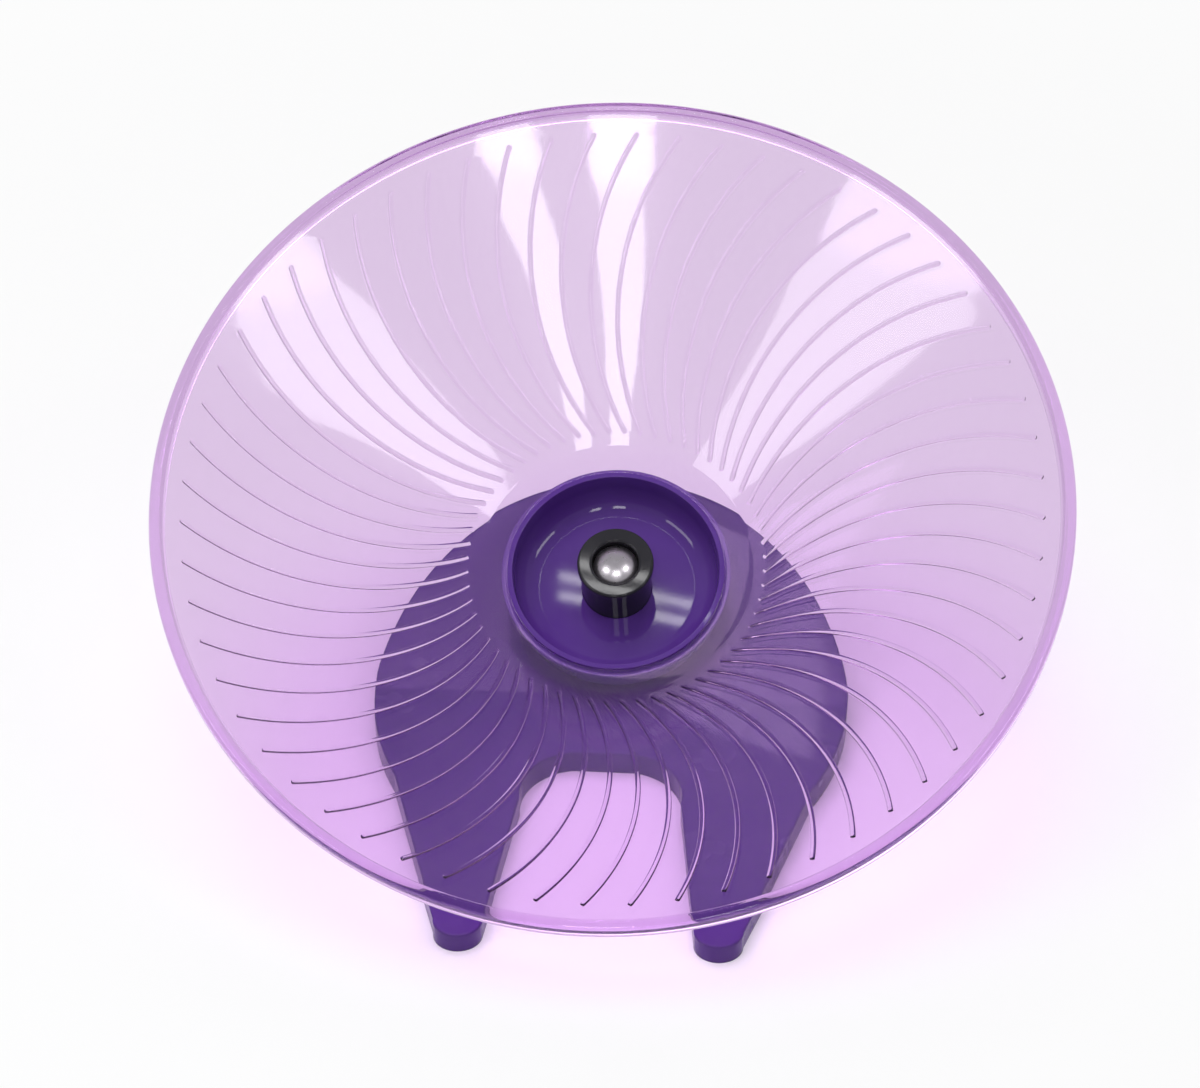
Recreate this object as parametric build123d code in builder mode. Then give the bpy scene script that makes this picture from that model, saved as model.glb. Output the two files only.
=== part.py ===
from build123d import *
import math
import os

# Flying saucer wheel for a hamster: a clear dish that spins on a leaning spindle
# above a low moulded stand. Millimetres, +Z up, the viewer's side is -Y.
# The origin lies on the ground, under the middle of the whole object.

# Lean of the spindle from the vertical
lean = 29.0
spindle_height = 58.5

# Dish, measured from the circle where its ribs end
rib_end_radius = 88.5
dish_slope = 0.54
dish_wall = 1.6
crease_radius = 29.25
hole_radius = 23.4
hole_drop = 1.5

# Bead round the dish's edge
rim_radius = 95.25
bead_width = 2.85
bead_top = 3.3
bead_bottom = -0.4
bead_round = 1.2
bead_edge_round = 0.5

# Running ribs on the dish's floor
rib_count = 60
rib_start_radius = 32.1
rib_width = 1.1
rib_height = 0.6
rib_bow = 8.6
rib_first_angle = -0.27
rib_root = 0.4

# Cup in the middle of the dish
cup_rim_wall = 1.1
cup_depth = 8.6
cup_floor = 2.2
cup_corner_radius = 5.0
cup_shoulder = 1.4
cup_shoulder_height = 1.4
cup_draft = 0.8
cup_rim_proud = 0.2
bond_gap = 0.05

# Bearing of 5 x 13 x 4 mm
bearing_bore_radius = 2.53
bearing_radius = 6.47
bearing_width = 4.0
race_inner_lip = 3.6
race_outer_lip = 5.4
ball_count = 7
ball_radius = 1.15
ball_clearance = 0.05
cage_thickness = 0.8
cage_height = 3.0
seal_thickness = 0.3
seal_gap = 0.3
bearing_spread = 4.0

# Black barrel that holds the bearings, and its cap
barrel_radius = 7.6
barrel_bore = 6.5
barrel_step_radius = 5.6
barrel_flange_radius = 9.4
barrel_flange = 1.2
barrel_lip = 0.6
cap_radius = 8.2
cap_thickness = 1.5
cap_bore = 5.05
cap_spigot = 1.2
cap_round = 0.5
cap_clearance = 0.2

# Spindle and its fasteners
spindle_radius = 2.5
dome_radius = 4.7
dome_edge = 0.7
dome_rise = 2.0
washer_thickness = 0.7
thrust_thickness = 1.0
thrust_radius = 3.5
nut_across_flats = 8.0
nut_height = 4.0
nut_washer_radius = 5.0
thread_end = 0.8

# Stand
plate_drop = 48.0
stand_wall = 2.2
stand_draft = 15.0
side_reach = 60.0
body_radius = 52.0
body_centre_y = 3.5
step_back_y = 13.4
step_front_y = -0.4
step_front_height = 6.0
toe_height = 4.0
toe_y = -75.0
toe_x = 26.0
toe_radius = 5.0
leg_waist_x = 44.0
leg_waist_y = -28.0
leg_bulge_x = 49.9
leg_bulge_y = -13.0
arch_y = -19.5
arch_half_flat = 7.0
arch_waist_x = 17.0
arch_waist_y = -34.0
arch_bend_in = 2.5
arch_bend_drop = 4.6
crease_round = 4.0
boss_radius = 7.0
boss_bottom = 8.5
collar_radius = 5.4
web_thickness = 2.0
web_clear_of_ground = 1.5

# Working values of the leaning frame
lean_sin = math.sin(math.radians(lean))
lean_cos = math.cos(math.radians(lean))
far_reach = rim_radius * lean_cos - bead_bottom * lean_sin
near_reach = rim_radius * lean_cos + (bead_top - bead_round) * lean_sin
spindle_y = (near_reach - far_reach) / 2
dish_centre = Vector(0, spindle_y, spindle_height)
axis_direction = Vector(0, -lean_sin, lean_cos)
spindle_axis = Axis(dish_centre, axis_direction)
dish_plane = Plane(origin=dish_centre, x_dir=(1, 0, 0), z_dir=axis_direction)
section_plane = Plane(origin=dish_centre, x_dir=(1, 0, 0), z_dir=(0, -lean_cos, -lean_sin))

# Levels along the spindle, all counted from the rib ends' circle
crease_z = (crease_radius - rib_end_radius) * dish_slope
hole_z = crease_z - hole_drop
cone_thickness = dish_wall * math.sqrt(1 + dish_slope**2)
cup_rim_z = hole_z + cup_rim_proud
cup_floor_z = cup_rim_z - cup_depth
cup_bottom_z = cup_floor_z - cup_floor
barrel_bottom_z = cup_bottom_z - barrel_flange
rear_bearing_z = barrel_bottom_z + barrel_lip
front_bearing_z = rear_bearing_z + bearing_width + bearing_spread
head_washer_z = front_bearing_z + bearing_width
head_z = head_washer_z + washer_thickness
barrel_top_z = head_washer_z + cap_spigot + cap_clearance
cap_top_z = barrel_top_z + cap_thickness
thrust_z = rear_bearing_z - thrust_thickness
boss_low_z = -plate_drop - boss_bottom
nut_washer_z = boss_low_z - washer_thickness
nut_z = nut_washer_z - nut_height

os.makedirs("parts", exist_ok=True)


# Saucer: the clear dish with its bead and its curved ribs
with BuildPart() as dish:
    with BuildSketch(section_plane) as dish_section:
        with BuildLine():
            bead_inner = rim_radius - bead_width
            bead_inner_z = (bead_inner - rib_end_radius) * dish_slope
            hole_under_z = hole_z - dish_wall
            ledge_slope = hole_drop / (crease_radius - hole_radius)
            ledge_level = hole_under_z - ledge_slope * hole_radius
            cone_level = -rib_end_radius * dish_slope - cone_thickness
            under_crease = (ledge_level - cone_level) / (dish_slope - ledge_slope)
            under_crease_z = ledge_level + ledge_slope * under_crease
            Polyline(
                (hole_radius, hole_z),
                (crease_radius, crease_z),
                (bead_inner, bead_inner_z),
                (bead_inner + bead_edge_round, bead_top - bead_edge_round),
                (rim_radius - bead_round, bead_top),
                (rim_radius, bead_top),
                (rim_radius, bead_bottom),
                (bead_inner, bead_bottom),
                (bead_inner, bead_inner_z - cone_thickness),
                (under_crease, under_crease_z),
                (hole_radius, hole_under_z),
                close=True,
            )
        make_face()
        outer_corners = dish_section.vertices().group_by(Axis.X)[-1].sort_by(Axis.Y)
        fillet(outer_corners[-1], bead_round)
        fillet(outer_corners[0], bead_edge_round)
    revolve(axis=spindle_axis)

# Ribs: bowed slots drawn in plan, trimmed to a thin layer that follows the cone
with BuildPart() as rib_layer:
    with BuildSketch(section_plane) as layer_section:
        with BuildLine():
            layer_start = crease_radius + dish_wall
            layer_end = rib_end_radius + rib_width
            layer_start_z = (layer_start - rib_end_radius) * dish_slope
            layer_end_z = rib_width * dish_slope
            Polyline(
                (layer_start, layer_start_z - rib_root),
                (layer_end, layer_end_z - rib_root),
                (layer_end, layer_end_z + rib_height),
                (layer_start, layer_start_z + rib_height),
                close=True,
            )
        make_face()
    revolve(axis=spindle_axis)

with BuildLine() as rib_line:
    ThreePointArc(
        (rib_start_radius, 0),
        ((rib_start_radius + rib_end_radius) / 2, rib_bow),
        (rib_end_radius, 0),
    )

with BuildPart() as ribs:
    with BuildSketch(dish_plane.offset(crease_z)):
        with PolarLocations(0, rib_count, start_angle=rib_first_angle):
            SlotArc(rib_line.wire(), rib_width)
    extrude(amount=bead_top - crease_z)
    add(rib_layer.part, mode=Mode.INTERSECT)

with BuildPart() as saucer:
    add(dish.part)
    add(ribs.part)
saucer.part.label = "saucer"
export_step(saucer.part, "parts/saucer.step")


# Hub cup: the dark cup bonded into the dish's hole, with a shoulder under the dish
cup_radius = hole_radius - bond_gap
shoulder_radius = hole_radius + cup_shoulder
shoulder_z = hole_z - dish_wall - bond_gap
with BuildPart() as hub_cup:
    with BuildSketch(section_plane) as cup_section:
        with BuildLine():
            inner_radius = cup_radius - cup_rim_wall
            Polyline(
                (barrel_radius, cup_bottom_z),
                (cup_radius, cup_bottom_z),
                (cup_radius + cup_draft, shoulder_z - cup_shoulder_height),
                (shoulder_radius, shoulder_z - cup_shoulder_height),
                (shoulder_radius, shoulder_z),
                (cup_radius, shoulder_z),
                (cup_radius, cup_rim_z),
                (inner_radius, cup_rim_z),
                (inner_radius - cup_draft, cup_floor_z),
                (barrel_radius, cup_floor_z),
                close=True,
            )
        make_face()
        floor_corner = cup_section.vertices().sort_by_distance((inner_radius - cup_draft, cup_floor_z))[0]
        fillet(floor_corner, cup_corner_radius)
        base_corner = cup_section.vertices().sort_by_distance((cup_radius, cup_bottom_z))[0]
        fillet(base_corner, cup_floor / 2)
    revolve(axis=spindle_axis)
hub_cup.part.label = "hub_cup"
export_step(hub_cup.part, "parts/hub_cup.step")


# Bearing barrel: black sleeve pushed up through the cup's floor, flanged below it
barrel_fit = barrel_radius - bond_gap / 2
with BuildPart() as bearing_barrel:
    with BuildSketch(section_plane) as barrel_section:
        with BuildLine():
            Polyline(
                (barrel_bore, barrel_bottom_z),
                (barrel_flange_radius, barrel_bottom_z),
                (barrel_flange_radius, cup_bottom_z),
                (barrel_fit, cup_bottom_z),
                (barrel_fit, barrel_top_z),
                (barrel_bore, barrel_top_z),
                (barrel_bore, front_bearing_z),
                (barrel_step_radius, front_bearing_z),
                (barrel_step_radius, rear_bearing_z + bearing_width),
                (barrel_bore, rear_bearing_z + bearing_width),
                close=True,
            )
        make_face()
    revolve(axis=spindle_axis)
bearing_barrel.part.label = "bearing_barrel"
export_step(bearing_barrel.part, "parts/bearing_barrel.step")


# Barrel cap: black ring with a spigot that presses into the barrel's mouth
spigot_radius = barrel_bore - bond_gap / 2
with BuildPart() as barrel_cap:
    with BuildSketch(section_plane) as cap_section:
        with BuildLine():
            Polyline(
                (cap_bore, barrel_top_z - cap_spigot),
                (spigot_radius, barrel_top_z - cap_spigot),
                (spigot_radius, barrel_top_z),
                (cap_radius, barrel_top_z),
                (cap_radius, cap_top_z),
                (cap_bore, cap_top_z),
                close=True,
            )
        make_face()
        fillet(cap_section.vertices().group_by(Axis.Y)[-1], cap_round)
    revolve(axis=spindle_axis)
barrel_cap.part.label = "barrel_cap"
export_step(barrel_cap.part, "parts/barrel_cap.step")


# Two sealed ball bearings, one at each end of the barrel
pitch_radius = (race_inner_lip + race_outer_lip) / 2
groove_radius = ball_radius + ball_clearance
bearing_levels = {"front": front_bearing_z, "rear": rear_bearing_z}
for bearing_name, bearing_z in bearing_levels.items():
    middle_z = bearing_z + bearing_width / 2
    middle_plane = dish_plane.offset(middle_z)

    with BuildPart() as groove:
        with BuildSketch(section_plane):
            with Locations((pitch_radius, middle_z)):
                Circle(groove_radius)
        revolve(axis=spindle_axis)

    with BuildPart() as outer_race:
        with BuildSketch(middle_plane):
            Circle(bearing_radius)
            Circle(race_outer_lip, mode=Mode.SUBTRACT)
        extrude(amount=bearing_width / 2, both=True)
        add(groove.part, mode=Mode.SUBTRACT)
    outer_race.part.label = bearing_name + "_outer_race"
    export_step(outer_race.part, "parts/" + bearing_name + "_outer_race.step")

    with BuildPart() as inner_race:
        with BuildSketch(middle_plane):
            Circle(race_inner_lip)
            Circle(bearing_bore_radius, mode=Mode.SUBTRACT)
        extrude(amount=bearing_width / 2, both=True)
        add(groove.part, mode=Mode.SUBTRACT)
    inner_race.part.label = bearing_name + "_inner_race"
    export_step(inner_race.part, "parts/" + bearing_name + "_inner_race.step")

    with BuildPart() as balls:
        with Locations(middle_plane):
            with PolarLocations(pitch_radius, ball_count):
                Sphere(ball_radius)
    balls.part.label = bearing_name + "_balls"
    export_step(balls.part, "parts/" + bearing_name + "_balls.step")

    with BuildPart() as ball_cage:
        with BuildSketch(middle_plane):
            Circle(pitch_radius + cage_thickness / 2)
            Circle(pitch_radius - cage_thickness / 2, mode=Mode.SUBTRACT)
        extrude(amount=cage_height / 2, both=True)
        with Locations(middle_plane):
            with PolarLocations(pitch_radius, ball_count):
                Cylinder(
                    groove_radius,
                    race_outer_lip - race_inner_lip,
                    rotation=(0, 90, 0),
                    mode=Mode.SUBTRACT,
                )
    ball_cage.part.label = bearing_name + "_ball_cage"
    export_step(ball_cage.part, "parts/" + bearing_name + "_ball_cage.step")

    rear_seal_plane = dish_plane.offset(bearing_z)
    front_seal_plane = dish_plane.offset(bearing_z + bearing_width - seal_thickness)
    with BuildPart() as seals:
        with BuildSketch(rear_seal_plane, front_seal_plane):
            Circle(race_outer_lip - bond_gap / 2)
            Circle(race_inner_lip + seal_gap, mode=Mode.SUBTRACT)
        extrude(amount=seal_thickness)
    seals.part.label = bearing_name + "_seals"
    export_step(seals.part, "parts/" + bearing_name + "_seals.step")


# Spacer sleeve: keeps the two inner races apart on the spindle
with BuildPart() as spacer_sleeve:
    with BuildSketch(dish_plane.offset(rear_bearing_z + bearing_width)):
        Circle(thrust_radius)
        Circle(bearing_bore_radius, mode=Mode.SUBTRACT)
    extrude(amount=bearing_spread)
spacer_sleeve.part.label = "spacer_sleeve"
export_step(spacer_sleeve.part, "parts/spacer_sleeve.step")


# Head washer: between the front inner race and the spindle's domed head
with BuildPart() as head_washer:
    with BuildSketch(dish_plane.offset(head_washer_z)):
        Circle(thrust_radius)
        Circle(bearing_bore_radius, mode=Mode.SUBTRACT)
    extrude(amount=washer_thickness)
head_washer.part.label = "head_washer"
export_step(head_washer.part, "parts/head_washer.step")


# Thrust washer: between the stand's collar and the rear inner race
with BuildPart() as thrust_washer:
    with BuildSketch(dish_plane.offset(thrust_z)):
        Circle(thrust_radius)
        Circle(bearing_bore_radius, mode=Mode.SUBTRACT)
    extrude(amount=thrust_thickness)
thrust_washer.part.label = "thrust_washer"
export_step(thrust_washer.part, "parts/thrust_washer.step")


# Spindle: a bolt with a polished domed head, dropped in from the dish's side
thread_low_z = nut_z - thread_end
with BuildPart() as spindle:
    with BuildSketch(section_plane) as spindle_section:
        with BuildLine():
            shaft_side = Polyline(
                (0, head_z + dome_edge + dome_rise),
                (0, thread_low_z),
                (spindle_radius - thread_end, thread_low_z),
                (spindle_radius, thread_low_z + thread_end),
                (spindle_radius, head_z),
                (dome_radius, head_z),
                (dome_radius, head_z + dome_edge),
            )
            dome_ball = (dome_radius**2 + dome_rise**2) / (2 * dome_rise)
            RadiusArc(shaft_side @ 1, shaft_side @ 0, -dome_ball)
        make_face()
    revolve(axis=spindle_axis)
spindle.part.label = "spindle"
export_step(spindle.part, "parts/spindle.step")


# Nut and washer under the stand's boss
with BuildPart() as nut_washer:
    with BuildSketch(dish_plane.offset(nut_washer_z)):
        Circle(nut_washer_radius)
        Circle(bearing_bore_radius, mode=Mode.SUBTRACT)
    extrude(amount=washer_thickness)
nut_washer.part.label = "nut_washer"
export_step(nut_washer.part, "parts/nut_washer.step")

with BuildPart() as spindle_nut:
    with BuildSketch(dish_plane.offset(nut_z)):
        RegularPolygon(nut_across_flats / 2, 6, major_radius=False)
        Circle(bearing_bore_radius, mode=Mode.SUBTRACT)
    extrude(amount=nut_height)
spindle_nut.part.label = "spindle_nut"
export_step(spindle_nut.part, "parts/spindle_nut.step")


# Stand: plan outline and side profile, made once for the skin and once for the hollow
def stand_block(inset):
    """The stand's shape, with every wall moved in by the inset."""
    plate_z = -plate_drop - inset
    plate_rise = lean_sin / lean_cos
    axis_y = spindle_y - plate_z * lean_sin
    axis_height = spindle_height + plate_z * lean_cos
    back_y = body_centre_y + side_reach
    plate_back_height = axis_height + (back_y - axis_y) * plate_rise
    step_back_height = axis_height + (step_back_y - axis_y) * plate_rise
    with BuildPart() as block:
        with BuildSketch():
            with BuildLine():
                left_back = (-(body_radius - inset), body_centre_y)
                right_back = (body_radius - inset, body_centre_y)
                toe_inner = toe_x - toe_radius + inset
                toe_outer = toe_x + toe_radius - inset
                toe_end = toe_y + toe_radius
                ThreePointArc(left_back, (0, body_centre_y + body_radius - inset), right_back)
                for side in (-1, 1):
                    bulge = (side * (leg_bulge_x - inset), leg_bulge_y)
                    waist = (side * (leg_waist_x - inset), leg_waist_y)
                    ThreePointArc((side * (body_radius - inset), body_centre_y), bulge, waist)
                    Line(waist, (side * toe_outer, toe_end))
                    ThreePointArc(
                        (side * toe_outer, toe_end),
                        (side * toe_x, toe_y + inset),
                        (side * toe_inner, toe_end),
                    )
                    arch_side = (side * (arch_waist_x + inset), arch_waist_y)
                    Line((side * toe_inner, toe_end), arch_side)
                    arch_knee = (side * (arch_half_flat + inset), arch_y + inset)
                    arch_bend = (
                        side * (arch_waist_x - arch_bend_in + inset),
                        arch_y - arch_bend_drop + inset,
                    )
                    ThreePointArc(arch_side, arch_bend, arch_knee)
                Line((-arch_half_flat - inset, arch_y + inset), (arch_half_flat + inset, arch_y + inset))
            make_face()
        extrude(amount=plate_back_height)
        with BuildSketch(Plane.YZ.offset(-side_reach)):
            with BuildLine():
                Polyline(
                    (toe_y - toe_radius, 0),
                    (toe_y - toe_radius, toe_height - inset),
                    (step_front_y, step_front_height - inset),
                    (step_back_y, step_back_height),
                    (back_y, plate_back_height),
                    (back_y, 0),
                    close=True,
                )
            make_face()
        extrude(amount=2 * side_reach, mode=Mode.INTERSECT)
        with BuildSketch(Plane.XZ.offset(-body_centre_y)):
            with BuildLine():
                step_share = (body_centre_y - step_front_y) / (step_back_y - step_front_y)
                draft_low = step_front_height - inset
                draft_low += step_share * (step_back_height - draft_low)
                draft_inward = (plate_back_height - draft_low) * math.tan(math.radians(stand_draft))
                Polyline(
                    (body_radius - inset, draft_low),
                    (side_reach, draft_low),
                    (side_reach, plate_back_height),
                    (body_radius - inset - draft_inward, plate_back_height),
                    close=True,
                )
            make_face()
        body_axis = Axis((0, body_centre_y, 0), (0, 0, 1))
        revolve(axis=body_axis, revolution_arc=180, mode=Mode.SUBTRACT)
    return block.part


stand_skin = stand_block(0)
stand_hollow = stand_block(stand_wall)

# Boss down the spindle and stiffening webs, kept inside the hollow
web_y = spindle_y + plate_drop * lean_sin
with BuildPart() as stand_webs:
    with BuildSketch(Plane.XY.offset(web_clear_of_ground)):
        with Locations((0, web_y)):
            Rectangle(2 * body_radius, web_thickness)
            Rectangle(web_thickness, 2 * body_radius)
    extrude(amount=spindle_height)
    add(stand_skin, mode=Mode.INTERSECT)
    with BuildSketch(dish_plane.offset(-plate_drop)):
        Circle(boss_radius)
    extrude(amount=-boss_bottom)
    with BuildSketch(dish_plane.offset(boss_low_z)):
        Circle(boss_radius)
    extrude(amount=-spindle_height, mode=Mode.SUBTRACT)

with BuildPart() as stand:
    add(stand_skin)
    add(stand_hollow, mode=Mode.SUBTRACT)
    add(stand_webs.part)
    with BuildSketch(dish_plane.offset(-plate_drop - stand_wall / 2)):
        Circle(collar_radius)
    extrude(amount=plate_drop + stand_wall / 2 + thrust_z)
    with BuildSketch(dish_plane.offset(thrust_z)):
        Circle(bearing_bore_radius)
    extrude(amount=-plate_drop, mode=Mode.SUBTRACT)
    plate_creases = stand.edges().filter_by(Axis.X).sort_by(SortBy.LENGTH)[-2:]
    fillet(plate_creases, crease_round)
stand.part.label = "stand"
export_step(stand.part, "parts/stand.step")
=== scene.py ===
import math

import bpy
from mathutils import Matrix, Vector


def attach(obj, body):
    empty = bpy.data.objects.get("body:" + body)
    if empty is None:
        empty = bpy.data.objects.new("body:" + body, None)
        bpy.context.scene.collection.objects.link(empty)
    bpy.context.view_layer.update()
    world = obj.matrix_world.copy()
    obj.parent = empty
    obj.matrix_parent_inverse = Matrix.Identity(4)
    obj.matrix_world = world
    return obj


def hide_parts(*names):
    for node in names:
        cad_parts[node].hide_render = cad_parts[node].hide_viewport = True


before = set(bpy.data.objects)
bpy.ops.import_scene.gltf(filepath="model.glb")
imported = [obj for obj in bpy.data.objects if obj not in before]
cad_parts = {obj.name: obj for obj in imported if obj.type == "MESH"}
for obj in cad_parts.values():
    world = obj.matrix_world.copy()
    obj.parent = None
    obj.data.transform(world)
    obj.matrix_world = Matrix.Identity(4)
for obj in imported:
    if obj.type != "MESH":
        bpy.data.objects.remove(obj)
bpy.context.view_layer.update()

bl_info = {
    "name": "Flying saucer hamster wheel",
    "version": (1, 0, 0),
    "blender": (4, 5, 0),
    "location": "View3D > Sidebar > Saucer wheel",
    "description": "Builds the clear ribbed dish, dresses the stand and hub, and sets the studio",
    "category": "Object",
}

MM = 0.001

# Where the dish stands in the frame, and how far its spindle leans back
LEAN = math.radians(29.0)
DISH_CENTRE = Vector((0.0, 0.412 * MM, 58.5 * MM))
LEANING = Matrix.Translation(DISH_CENTRE) @ Matrix.Rotation(LEAN, 4, "X")

# Where the points of a rib's mesh lie, as shares of its half width: across it, and past its ends
RIB_ACROSS = (-1, -0.97, -0.86, -0.64, -0.34, 0, 0.34, 0.64, 0.86, 0.97, 1)
RIB_PAST_END = (1, 0.96, 0.84, 0.6, 0.3)
RIB_STEPS = 40

# Narrow strips of floor that keep the shading crisp beside a rib, at the crease and at the bead
RIB_STRIP = 0.12 * MM
EDGE_STRIP = 0.35 * MM

# Points nearer to each other than this are merged
MERGE_GAP = 0.01 * MM

# Edges that turn more than this stay sharp
SHARP_ANGLE = math.radians(32)

# The photograph's camera
CAMERA_PLACE = (38.477 * MM, -608.608 * MM, 474.595 * MM)
CAMERA_AZIMUTH = math.radians(3.832)
CAMERA_ELEVATION = math.radians(35.0)
CAMERA_LENS = 107.55
CAMERA_SENSOR = 36.0

# The lamps: name, place and size in metres, and power in watts. The two tubes shine straight
# down and show as bands in the cup's floor; the others point at the dish.
TUBE_TURN = math.radians(-10)
LAMPS = (
    ("tube_near", (-0.060, -0.0870, 1.45), (0.095, 0.0055), 0.022),
    ("tube_far", (-0.060, -0.0755, 1.45), (0.095, 0.0055), 0.022),
    ("lens_left", (-0.03, -0.84, 0.705), (0.13, 0.24), 0.80),
    ("lens_right", (0.21, -0.81, 0.715), (0.11, 0.22), 0.62),
    ("box_left", (-0.63, -0.52, 0.74), (0.40, 0.22), 1.30),
    ("box_right", (0.67, -0.36, 0.82), (0.34, 0.20), 1.20),
    ("fill_above", (-0.25, 0.10, 1.30), (1.00, 1.00), 11.5),
)


class WheelSizes(bpy.types.PropertyGroup):
    """Sizes of the dish that a user would change."""

    dish_slope: bpy.props.FloatProperty(
        name="Dish slope",
        description="Rise of the running floor over its run",
        default=0.54,
    )
    dish_wall: bpy.props.FloatProperty(
        name="Dish wall",
        description="Thickness of the clear plastic",
        default=1.6 * MM,
        unit="LENGTH",
    )
    hole_radius: bpy.props.FloatProperty(
        name="Hole radius",
        description="Radius of the hole that takes the hub cup",
        default=23.4 * MM,
        unit="LENGTH",
    )
    ledge_drop: bpy.props.FloatProperty(
        name="Ledge drop",
        description="How far the ledge round the hole falls towards the cup",
        default=1.5 * MM,
        unit="LENGTH",
    )
    crease_radius: bpy.props.FloatProperty(
        name="Crease radius",
        description="Where the ledge round the cup turns up into the running floor",
        default=29.25 * MM,
        unit="LENGTH",
    )
    rim_radius: bpy.props.FloatProperty(
        name="Rim radius",
        description="Outer radius of the bead round the dish",
        default=95.25 * MM,
        unit="LENGTH",
    )
    bead_width: bpy.props.FloatProperty(
        name="Bead width",
        description="Width of the bead round the dish",
        default=2.85 * MM,
        unit="LENGTH",
    )
    bead_top: bpy.props.FloatProperty(
        name="Bead top",
        description="Height of the bead over the circle of the ribs' ends",
        default=3.3 * MM,
        unit="LENGTH",
    )
    bead_bottom: bpy.props.FloatProperty(
        name="Bead bottom",
        description="Level of the bead's lower edge",
        default=-0.4 * MM,
        unit="LENGTH",
    )
    rib_count: bpy.props.IntProperty(
        name="Ribs",
        description="Number of bowed ribs on the running floor",
        default=60,
    )
    rib_start: bpy.props.FloatProperty(
        name="Rib start",
        description="Radius where each rib starts",
        default=32.1 * MM,
        unit="LENGTH",
    )
    rib_end: bpy.props.FloatProperty(
        name="Rib end",
        description="Radius where each rib ends",
        default=88.5 * MM,
        unit="LENGTH",
    )
    rib_bow: bpy.props.FloatProperty(
        name="Rib bow",
        description="How far the middle of a rib bows to one side",
        default=8.6 * MM,
        unit="LENGTH",
    )
    rib_width: bpy.props.FloatProperty(
        name="Rib width",
        description="Width of a rib at its root",
        default=1.1 * MM,
        unit="LENGTH",
    )
    rib_height: bpy.props.FloatProperty(
        name="Rib height",
        description="Height of a rib over the running floor",
        default=0.6 * MM,
        unit="LENGTH",
    )
    rib_first_angle: bpy.props.FloatProperty(
        name="First rib",
        description="Angle of the first rib from the right of the dish",
        default=math.radians(-0.27),
        subtype="ANGLE",
    )


class WheelColours(bpy.types.PropertyGroup):
    """Colours of the plastics, the metals and the floor."""

    dish_tint: bpy.props.FloatVectorProperty(
        name="Dish tint",
        description="Tint that each surface of the clear dish gives",
        default=(0.85, 0.73, 0.89),
        subtype="COLOR",
        size=3,
    )
    dish_depth: bpy.props.FloatVectorProperty(
        name="Dish depth colour",
        description="Colour that the clear plastic takes on in its thick parts",
        default=(0.46, 0.02, 0.60),
        subtype="COLOR",
        size=3,
    )
    cup_purple: bpy.props.FloatVectorProperty(
        name="Cup purple",
        description="Dark glossy plastic of the hub cup",
        default=(0.075, 0.017, 0.225),
        subtype="COLOR",
        size=3,
    )
    stand_purple: bpy.props.FloatVectorProperty(
        name="Stand purple",
        description="Moulded plastic of the stand",
        default=(0.058, 0.010, 0.170),
        subtype="COLOR",
        size=3,
    )
    black: bpy.props.FloatVectorProperty(
        name="Black",
        description="Plastic of the bearing barrel and its cap",
        default=(0.006, 0.005, 0.010),
        subtype="COLOR",
        size=3,
    )
    steel: bpy.props.FloatVectorProperty(
        name="Steel",
        description="Polished head of the spindle",
        default=(0.80, 0.74, 0.80),
        subtype="COLOR",
        size=3,
    )
    bearing_steel: bpy.props.FloatVectorProperty(
        name="Bearing steel",
        description="Balls and races of the two bearings",
        default=(0.42, 0.43, 0.45),
        subtype="COLOR",
        size=3,
    )
    cage_brass: bpy.props.FloatVectorProperty(
        name="Cage brass",
        description="Cages that keep the balls apart",
        default=(0.62, 0.44, 0.17),
        subtype="COLOR",
        size=3,
    )
    seal_rubber: bpy.props.FloatVectorProperty(
        name="Seal rubber",
        description="Seals on both sides of each bearing",
        default=(0.012, 0.012, 0.013),
        subtype="COLOR",
        size=3,
    )
    zinc: bpy.props.FloatVectorProperty(
        name="Zinc",
        description="Plated washers, spacer and nut",
        default=(0.55, 0.56, 0.55),
        subtype="COLOR",
        size=3,
    )
    paper: bpy.props.FloatVectorProperty(
        name="Floor paper",
        description="Pale floor under the wheel",
        default=(0.86, 0.86, 0.86),
        subtype="COLOR",
        size=3,
    )


class Wire:
    """A node's output; the signs of arithmetic add Math nodes to it."""

    def __init__(self, finish, socket):
        self.finish = finish
        self.socket = socket

    def maths(self, operation, *others):
        """The wire of a Math node on this wire and others."""
        values = dict(enumerate((self, *others)))
        return self.finish.node("ShaderNodeMath", {"operation": operation}, values)

    def ramp(self, start, slope):
        """Nought up to a start, then a straight rise that stops at one."""
        return ((self - start) * slope).maths("MINIMUM", 1.0).maths("MAXIMUM", 0.0)

    def __add__(self, other):
        return self.maths("ADD", other)

    def __radd__(self, other):
        return self.maths("ADD", other)

    def __mul__(self, other):
        return self.maths("MULTIPLY", other)

    def __rmul__(self, other):
        return self.maths("MULTIPLY", other)

    def __sub__(self, other):
        return self.maths("SUBTRACT", other)

    def __rsub__(self, other):
        return self.finish.node("ShaderNodeMath", {"operation": "SUBTRACT"}, {0: other, 1: self})

    def __pow__(self, other):
        return self.maths("POWER", other)


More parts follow.
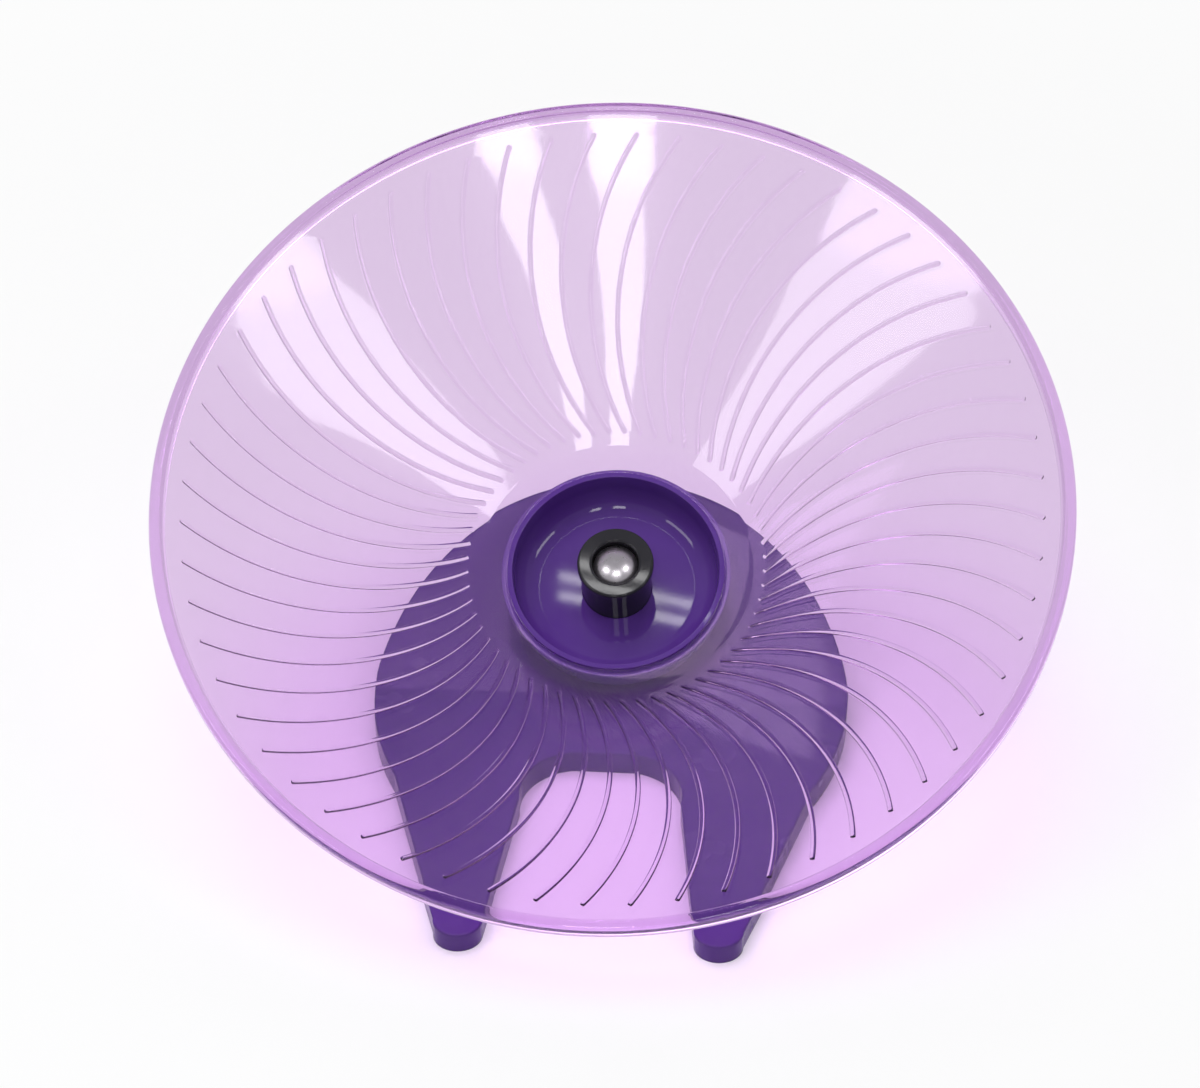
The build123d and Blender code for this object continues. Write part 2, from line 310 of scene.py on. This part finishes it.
class Finish:
    """One material, or the world, and the nodes that make it."""

    def __init__(self, owner, output="ShaderNodeOutputMaterial"):
        self.owner = owner
        self.owner.use_nodes = True
        self.tree = self.owner.node_tree
        self.tree.nodes.clear()
        self.output = self.tree.nodes.new(output)

    def node(self, kind, settings=None, values=None, out=0):
        """Adds a node, with its settings first and then its sockets' values or wires."""
        made = self.tree.nodes.new(kind)
        for key, value in (settings or {}).items():
            setattr(made, key, value)
        for key, value in (values or {}).items():
            if isinstance(value, Wire):
                self.tree.links.new(value.socket, made.inputs[key])
            else:
                made.inputs[key].default_value = value
        return Wire(self, made.outputs[out])

    def noise(self, scale, detail=2.0):
        """Noise over the piece, in its object's own metres."""
        place = self.node("ShaderNodeTexCoord", out="Object")
        return self.node(
            "ShaderNodeTexNoise", None, {"Vector": place, "Scale": scale, "Detail": detail}
        )

    def blend(self, share, first, second):
        """A colour between two, by a wire's share."""
        return self.node(
            "ShaderNodeMix",
            {"data_type": "RGBA"},
            {"Factor": share, 6: (*first, 1.0), 7: (*second, 1.0)},
            out=2,
        )

    def seen_by(self, *rays):
        """One for the kinds of ray that are named, and nought for the others."""
        first, *others = [self.node("ShaderNodeLightPath", out=ray) for ray in rays]
        for other in others:
            first = first.maths("MAXIMUM", other)
        return first

    def bump(self, height, distance, edge_round=0):
        """A normal from a height, in metres, and over edges as if they were rounded."""
        values = {"Height": height, "Distance": distance}
        if edge_round:
            values["Normal"] = self.node("ShaderNodeBevel", {"samples": 6}, {"Radius": edge_round})
        return self.node("ShaderNodeBump", None, values)

    def shaded(self, **values):
        """A Principled shader; underscores in the names stand for spaces."""
        named = {key.replace("_", " "): value for key, value in values.items()}
        return self.node("ShaderNodeBsdfPrincipled", None, named)

    def show(self, surface, volume=None):
        """Joins the shaders to the output."""
        self.tree.links.new(surface.socket, self.output.inputs["Surface"])
        if volume:
            self.tree.links.new(volume.socket, self.output.inputs["Volume"])
        return self.owner


def lighter(colour, share):
    """A colour moved towards white."""
    return tuple(part + (1 - part) * share for part in colour)


def clear_plastic(colours):
    """Tinted clear plastic: faint waves of the mould, and more colour where it is thick."""
    finish = Finish(bpy.data.materials.new("clear_plastic"))
    waves = finish.noise(90.0, 1.0)
    scuffs = finish.noise(700.0, 3.0)
    glass = finish.shaded(
        Base_Color=finish.blend(scuffs, colours.dish_tint, lighter(colours.dish_tint, 0.2)),
        Roughness=0.03 + 0.05 * scuffs ** 2,
        Transmission_Weight=1.0,
        IOR=1.46,
        Coat_Weight=0.25,
        Coat_Roughness=0.22,
        Normal=finish.bump(waves, 0.008 * MM),
    )
    # Light passes straight through on its way to the stand and the floor
    shadow = finish.node("ShaderNodeBsdfTransparent", None, {"Color": (*colours.dish_tint, 1.0)})
    in_shadow = finish.seen_by("Is Shadow Ray")
    surface = finish.node("ShaderNodeMixShader", None, {0: in_shadow, 1: glass, 2: shadow})
    depth = finish.node(
        "ShaderNodeVolumeAbsorption", None, {"Color": (*colours.dish_depth, 1.0), "Density": 150.0}
    )
    return finish.show(surface, depth)


def gloss_plastic(name, colour, roughness, grain_scale, grain_depth, coat, edge_round):
    """Opaque moulded plastic: a soft mottle, a fine skin from the mould and softened edges."""
    finish = Finish(bpy.data.materials.new(name))
    mottle = finish.noise(55.0, 3.0)
    grain = finish.noise(grain_scale, 2.0)
    return finish.show(
        finish.shaded(
            Base_Color=finish.blend(mottle, colour, lighter(colour, 0.035)),
            Roughness=roughness * (0.8 + 0.8 * mottle ** 2),
            IOR=1.36,
            Coat_Weight=coat,
            Coat_Roughness=0.03,
            Normal=finish.bump(grain, grain_depth, edge_round=edge_round),
        )
    )


def turned_metal(name, colour, roughness, mark_scale):
    """Metal with fine marks and a little uneven polish."""
    finish = Finish(bpy.data.materials.new(name))
    marks = finish.noise(mark_scale, 4.0)
    return finish.show(
        finish.shaded(
            Base_Color=finish.blend(marks, colour, lighter(colour, 0.25)),
            Metallic=1.0,
            Roughness=roughness + 0.1 * marks,
            Normal=finish.bump(marks, 0.004 * MM),
        )
    )


def dress(nodes, material):
    """Gives CAD nodes their material."""
    for name in nodes:
        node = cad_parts[name]
        node.data.materials.clear()
        node.data.materials.append(material)


def deselect():
    """Leaves edit mode and selects nothing."""
    if bpy.context.object and bpy.context.object.mode != "OBJECT":
        bpy.ops.object.mode_set(mode="OBJECT")
    bpy.ops.object.select_all(action="DESELECT")


def rounded(points, radii, steps=6):
    """A profile's points with arcs in place of the corners that have a radius."""
    made = []
    for index, point in enumerate(points):
        radius = radii.get(index, 0)
        if not radius:
            made.append(tuple(point))
            continue
        corner = Vector(point)
        back = (Vector(points[index - 1]) - corner).normalized()
        onward = (Vector(points[(index + 1) % len(points)]) - corner).normalized()
        half = back.angle(onward) / 2
        middle = corner + (back + onward).normalized() * (radius / math.sin(half))
        start = corner + back * (radius / math.tan(half)) - middle
        turn = start.angle_signed(corner + onward * (radius / math.tan(half)) - middle)
        for step in range(steps + 1):
            angle = -turn * step / steps
            made.append(
                (
                    middle.x + start.x * math.cos(angle) - start.y * math.sin(angle),
                    middle.y + start.x * math.sin(angle) + start.y * math.cos(angle),
                )
            )
    return made


def pull_ring(radius_from, level_from, profile):
    """Extrudes the selected ring through a profile of radii and levels."""
    radius, level = radius_from, level_from
    for next_radius, next_level in profile:
        bpy.ops.mesh.extrude_region_move(
            TRANSFORM_OT_translate={"value": (0, 0, next_level - level)}
        )
        share = next_radius / radius
        bpy.ops.transform.resize(value=(share, share, 1), center_override=(0, 0, next_level))
        radius, level = next_radius, next_level


def floor_level(sizes, radius):
    """Level of the running floor, from the circle where the ribs end."""
    return (radius - sizes.rib_end) * sizes.dish_slope


class SAUCER_OT_dish(bpy.types.Operator):
    """Build the clear dish: one sector with its rib, copied round, then the bead and the wall."""

    bl_idname = "saucer.dish"
    bl_label = "Clear dish"

    def execute(self, context):
        sizes = context.scene.wheel_sizes
        deselect()
        dish = self.add_sector(sizes)
        self.copy_round(sizes)
        self.pull_bead_and_wall(dish, sizes)
        dish.data.transform(LEANING @ Matrix.Rotation(sizes.rib_first_angle, 4, "Z"))
        bpy.ops.object.shade_smooth_by_angle(angle=SHARP_ANGLE)
        dish.data.materials.append(clear_plastic(context.scene.wheel_colours))
        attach(dish, "saucer")
        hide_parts("saucer")
        return {"FINISHED"}

    def add_sector(self, sizes):
        """One sector of the running floor, from the crease to the bead, with its rib."""
        half_step = math.pi / sizes.rib_count
        half_width = sizes.rib_width / 2
        bead_inner = sizes.rim_radius - sizes.bead_width

        # The rib's centre line is an arc, bowed to one side in plan
        half_chord = (sizes.rib_end - sizes.rib_start) / 2
        arc_radius = (half_chord**2 + sizes.rib_bow**2) / (2 * sizes.rib_bow)
        arc_centre = Vector((sizes.rib_start + half_chord, sizes.rib_bow - arc_radius))
        arc_half = math.asin(half_chord / arc_radius)
        end_turn = half_width / arc_radius

        # One row of points for each turn along the arc, and two rows at each end of the sector
        turns = [arc_half + end_turn * share for share in RIB_PAST_END]
        turns += [arc_half * (1 - 2 * step / RIB_STEPS) for step in range(RIB_STEPS + 1)]
        turns += [-arc_half - end_turn * share for share in reversed(RIB_PAST_END)]
        rows = len(turns) + 4
        edge_rows = {
            0: sizes.crease_radius,
            1: sizes.crease_radius + EDGE_STRIP,
            rows - 2: bead_inner - EDGE_STRIP,
            rows - 1: bead_inner,
        }

        # The rib's own columns, and on each side its strip and the edge of the sector
        columns = len(RIB_ACROSS) + 4
        bpy.ops.mesh.primitive_grid_add(x_subdivisions=rows - 1, y_subdivisions=columns - 1)
        dish = bpy.context.object
        dish.name = "clear_dish"
        cells = sorted(dish.data.vertices, key=lambda v: (round(v.co.x, 5), round(v.co.y, 5)))
        for index, vertex in enumerate(cells):
            row, column = divmod(index, columns)
            if row in edge_rows:
                radius = edge_rows[row]
                angle = half_step * (2 * column / (columns - 1) - 1)
                vertex.co = (
                    radius * math.cos(angle),
                    radius * math.sin(angle),
                    floor_level(sizes, radius),
                )
                continue
            turn = turns[row - 2]
            sideways = Vector((-math.sin(turn), math.cos(turn)))
            place = arc_centre + arc_radius * sideways
            height = 0.0
            if column in (0, columns - 1):
                place = place @ Matrix.Rotation(half_step if column == 0 else -half_step, 2)
            elif column in (1, columns - 2):
                side = -1 if column == 1 else 1
                place = place + sideways * side * (half_width + RIB_STRIP)
            else:
                share = RIB_ACROSS[column - 2]
                past_end = max(0.0, (abs(turn) - arc_half) / end_turn)
                place = place + sideways * share * half_width
                height = sizes.rib_height * math.sqrt(max(0.0, 1 - share**2 - past_end**2))
            vertex.co = (place.x, place.y, floor_level(sizes, place.length) + height)
        return dish

    def copy_round(self, sizes):
        """Copies the sector round the spindle and joins the copies."""
        bpy.ops.object.mode_set(mode="EDIT")
        bpy.ops.mesh.select_all(action="SELECT")
        bpy.ops.mesh.spin(
            steps=sizes.rib_count,
            angle=2 * math.pi,
            dupli=True,
            center=(0, 0, 0),
            axis=(0, 0, 1),
        )
        bpy.ops.mesh.select_all(action="SELECT")
        bpy.ops.mesh.remove_doubles(threshold=MERGE_GAP)
        bpy.ops.mesh.select_all(action="DESELECT")
        bpy.ops.object.mode_set(mode="OBJECT")

    def pull_bead_and_wall(self, dish, sizes):
        """Pulls the outer ring over the bead, under the wall and back to the crease."""
        slope = sizes.dish_slope
        bead_inner = sizes.rim_radius - sizes.bead_width
        for edge in dish.data.edges:
            radii = [dish.data.vertices[i].co.xy.length for i in edge.vertices]
            edge.select = min(radii) > bead_inner - MERGE_GAP
        for vertex in dish.data.vertices:
            vertex.select = vertex.co.xy.length > bead_inner - MERGE_GAP
        bpy.ops.object.mode_set(mode="EDIT")

        # The underside runs parallel to the floor, and to the ledge round the hole
        wall_drop = sizes.dish_wall * math.sqrt(1 + slope**2)
        inner_level = floor_level(sizes, bead_inner)
        crease_level = floor_level(sizes, sizes.crease_radius)
        hole_level = crease_level - sizes.ledge_drop
        ledge_slope = sizes.ledge_drop / (sizes.crease_radius - sizes.hole_radius)
        ledge_level = hole_level - sizes.dish_wall - ledge_slope * sizes.hole_radius
        under_crease = (ledge_level + sizes.rib_end * slope + wall_drop) / (slope - ledge_slope)
        corners = [
            (bead_inner, inner_level),
            (bead_inner + 0.5 * MM, sizes.bead_top),
            (sizes.rim_radius, sizes.bead_top),
            (sizes.rim_radius, sizes.bead_bottom),
            (bead_inner, sizes.bead_bottom),
            (bead_inner, inner_level - wall_drop),
            (under_crease, ledge_level + ledge_slope * under_crease),
            (sizes.hole_radius, hole_level - sizes.dish_wall),
            (sizes.hole_radius, hole_level),
            (sizes.crease_radius, crease_level),
        ]
        corner_radii = {1: 0.6 * MM, 2: 1.2 * MM, 3: 0.5 * MM, 4: 0.3 * MM, 8: 0.25 * MM}
        profile = rounded(corners, corner_radii)
        pull_ring(*profile[0], profile[1:])
        bpy.ops.mesh.select_all(action="SELECT")
        bpy.ops.mesh.remove_doubles(threshold=2 * MERGE_GAP)
        bpy.ops.mesh.normals_make_consistent(inside=False)
        bpy.ops.object.mode_set(mode="OBJECT")


class SAUCER_OT_hub(bpy.types.Operator):
    """Dress the hub cup, the bearing barrel and its cap."""

    bl_idname = "saucer.hub"
    bl_label = "Hub cup and barrel"

    def execute(self, context):
        colours = context.scene.wheel_colours
        cup = gloss_plastic(
            "cup_plastic",
            colours.cup_purple,
            roughness=0.03,
            grain_scale=260.0,
            grain_depth=0.001 * MM,
            coat=0.1,
            edge_round=0.3 * MM,
        )
        dress(["hub_cup"], cup)
        black = gloss_plastic(
            "black_plastic",
            colours.black,
            roughness=0.03,
            grain_scale=900.0,
            grain_depth=0.0004 * MM,
            coat=0.0,
            edge_round=0.2 * MM,
        )
        dress(["bearing_barrel", "barrel_cap"], black)
        return {"FINISHED"}


class SAUCER_OT_bearings(bpy.types.Operator):
    """Dress the spindle, the bearings and the fasteners."""

    bl_idname = "saucer.bearings"
    bl_label = "Spindle and bearings"

    def execute(self, context):
        colours = context.scene.wheel_colours
        dress(["spindle"], turned_metal("polished_steel", colours.steel, 0.24, 1500.0))
        steel = turned_metal("bearing_steel", colours.bearing_steel, 0.2, 2200.0)
        for side in ("front", "rear"):
            dress([f"{side}_inner_race", f"{side}_outer_race", f"{side}_balls"], steel)
        brass = turned_metal("cage_brass", colours.cage_brass, 0.3, 1800.0)
        dress(["front_ball_cage", "rear_ball_cage"], brass)
        rubber = gloss_plastic(
            "seal_rubber",
            colours.seal_rubber,
            roughness=0.5,
            grain_scale=1600.0,
            grain_depth=0.02 * MM,
            coat=0.0,
            edge_round=0.1 * MM,
        )
        dress(["front_seals", "rear_seals"], rubber)
        zinc = turned_metal("zinc_steel", colours.zinc, 0.32, 1200.0)
        fasteners = ["spindle_nut", "nut_washer", "head_washer", "thrust_washer", "spacer_sleeve"]
        dress(fasteners, zinc)
        return {"FINISHED"}


class SAUCER_OT_stand(bpy.types.Operator):
    """Dress the low moulded stand."""

    bl_idname = "saucer.stand"
    bl_label = "Stand"

    def execute(self, context):
        plastic = gloss_plastic(
            "stand_plastic",
            context.scene.wheel_colours.stand_purple,
            roughness=0.24,
            grain_scale=700.0,
            grain_depth=0.003 * MM,
            coat=0.0,
            edge_round=1.0 * MM,
        )
        dress(["stand"], plastic)
        return {"FINISHED"}


class SAUCER_OT_studio(bpy.types.Operator):
    """Set the floor, the soft lights and the camera."""

    bl_idname = "saucer.studio"
    bl_label = "Studio"

    def execute(self, context):
        deselect()
        self.lay_floor(context.scene.wheel_colours)
        self.light_world(context.scene)
        for lamp in LAMPS:
            self.hang_lamp(*lamp)
        self.set_camera(context.scene)
        context.scene.view_settings.view_transform = "Standard"
        return {"FINISHED"}

    def lay_floor(self, colours):
        """A pale paper floor with a painted glow that the camera sees, dim near the dish as
        painted shade under it and fading to white far off.
        """
        bpy.ops.mesh.primitive_plane_add(size=6.0, location=(0, 0, -0.02 * MM))
        floor = bpy.context.object
        floor.name = "floor"
        finish = Finish(bpy.data.materials.new("floor_paper"))
        mottle = finish.noise(25.0, 4.0)
        paper = finish.blend(mottle, colours.paper, lighter(colours.paper, 1 / 7))
        lit = finish.node("ShaderNodeBsdfDiffuse", None, {"Color": paper})
        # Painted glow: the floor gives off white of its own where the camera, reflections and
        # clear plastic see it
        white = finish.node("ShaderNodeEmission", None, {"Color": (1, 1, 1, 1), "Strength": 1.0})
        place = finish.node("ShaderNodeTexCoord", out="Object")
        reach = finish.node(
            "ShaderNodeVectorMath", {"operation": "LENGTH"}, {0: place}, out="Value"
        )

        # Painted shade under the dish: the share of painted white glow is least near the middle,
        # grows beside the dish, and again far off
        beside_dish = reach.ramp(0.07, 16.0)
        far_off = reach.ramp(0.16, 2.6)
        seen = finish.seen_by("Is Camera Ray", "Is Glossy Ray", "Is Transmission Ray")
        painted_glow_share = seen * (0.15 + 0.45 * beside_dish + 0.40 * far_off)
        mixed = finish.node("ShaderNodeMixShader", None, {0: painted_glow_share, 1: lit, 2: white})
        floor.data.materials.append(finish.show(mixed))

    def light_world(self, scene):
        """A soft even light, which the camera sees as white."""
        finish = Finish(bpy.data.worlds.new("studio"), "ShaderNodeOutputWorld")
        soft = finish.node(
            "ShaderNodeBackground", None, {"Color": (0.96, 0.97, 1.0, 1.0), "Strength": 0.32}
        )
        white = finish.node("ShaderNodeBackground", None, {"Color": (1, 1, 1, 1), "Strength": 1.0})
        seen = finish.seen_by("Is Camera Ray", "Is Transmission Ray")
        mixed = finish.node("ShaderNodeMixShader", None, {0: seen, 1: soft, 2: white})
        scene.world = finish.show(mixed)

    def hang_lamp(self, name, place, size, power):
        """One rectangular lamp, which the camera doesn't see."""
        bpy.ops.object.light_add(type="AREA", location=place)
        lamp = bpy.context.object
        lamp.name = name
        lamp.visible_camera = False
        lamp.visible_glossy = name != "fill_above"
        lamp.data.shape = "RECTANGLE"
        lamp.data.size, lamp.data.size_y = size
        lamp.data.energy = power
        if name.startswith("tube"):
            lamp.rotation_euler = (0, 0, TUBE_TURN)
        else:
            aim = DISH_CENTRE - lamp.location
            lamp.rotation_euler = aim.to_track_quat("-Z", "Y").to_euler()

    def set_camera(self, scene):
        """The camera, where the photograph was taken from."""
        bpy.ops.object.camera_add(location=CAMERA_PLACE)
        camera = bpy.context.object
        right = Vector((math.cos(CAMERA_AZIMUTH), math.sin(CAMERA_AZIMUTH), 0))
        level = math.cos(CAMERA_ELEVATION)
        back = Vector((right.y * level, -right.x * level, math.sin(CAMERA_ELEVATION)))
        camera.rotation_euler = Matrix((right, back.cross(right), back)).transposed().to_euler()
        camera.data.lens = CAMERA_LENS
        camera.data.sensor_width = CAMERA_SENSOR
        camera.data.clip_start = 10 * MM
        scene.camera = camera


OPERATORS = (
    SAUCER_OT_dish,
    SAUCER_OT_hub,
    SAUCER_OT_bearings,
    SAUCER_OT_stand,
    SAUCER_OT_studio,
)


class SAUCER_PT_panel(bpy.types.Panel):
    """Buttons that build each group of pieces."""

    bl_idname = "SAUCER_PT_panel"
    bl_label = "Saucer wheel"
    bl_space_type = "VIEW_3D"
    bl_region_type = "UI"
    bl_category = "Saucer wheel"

    def draw(self, context):
        for operator in OPERATORS:
            self.layout.operator(operator.bl_idname, text=operator.bl_label)


CLASSES = (WheelSizes, WheelColours, *OPERATORS, SAUCER_PT_panel)


def register():
    for made in CLASSES:
        bpy.utils.register_class(made)
    bpy.types.Scene.wheel_sizes = bpy.props.PointerProperty(type=WheelSizes)
    bpy.types.Scene.wheel_colours = bpy.props.PointerProperty(type=WheelColours)


def unregister():
    del bpy.types.Scene.wheel_colours
    del bpy.types.Scene.wheel_sizes
    for made in reversed(CLASSES):
        bpy.utils.unregister_class(made)


def main():
    register()
    bpy.ops.saucer.dish()
    bpy.ops.saucer.hub()
    bpy.ops.saucer.bearings()
    bpy.ops.saucer.stand()
    bpy.ops.saucer.studio()


if __name__ == "__main__":
    main()
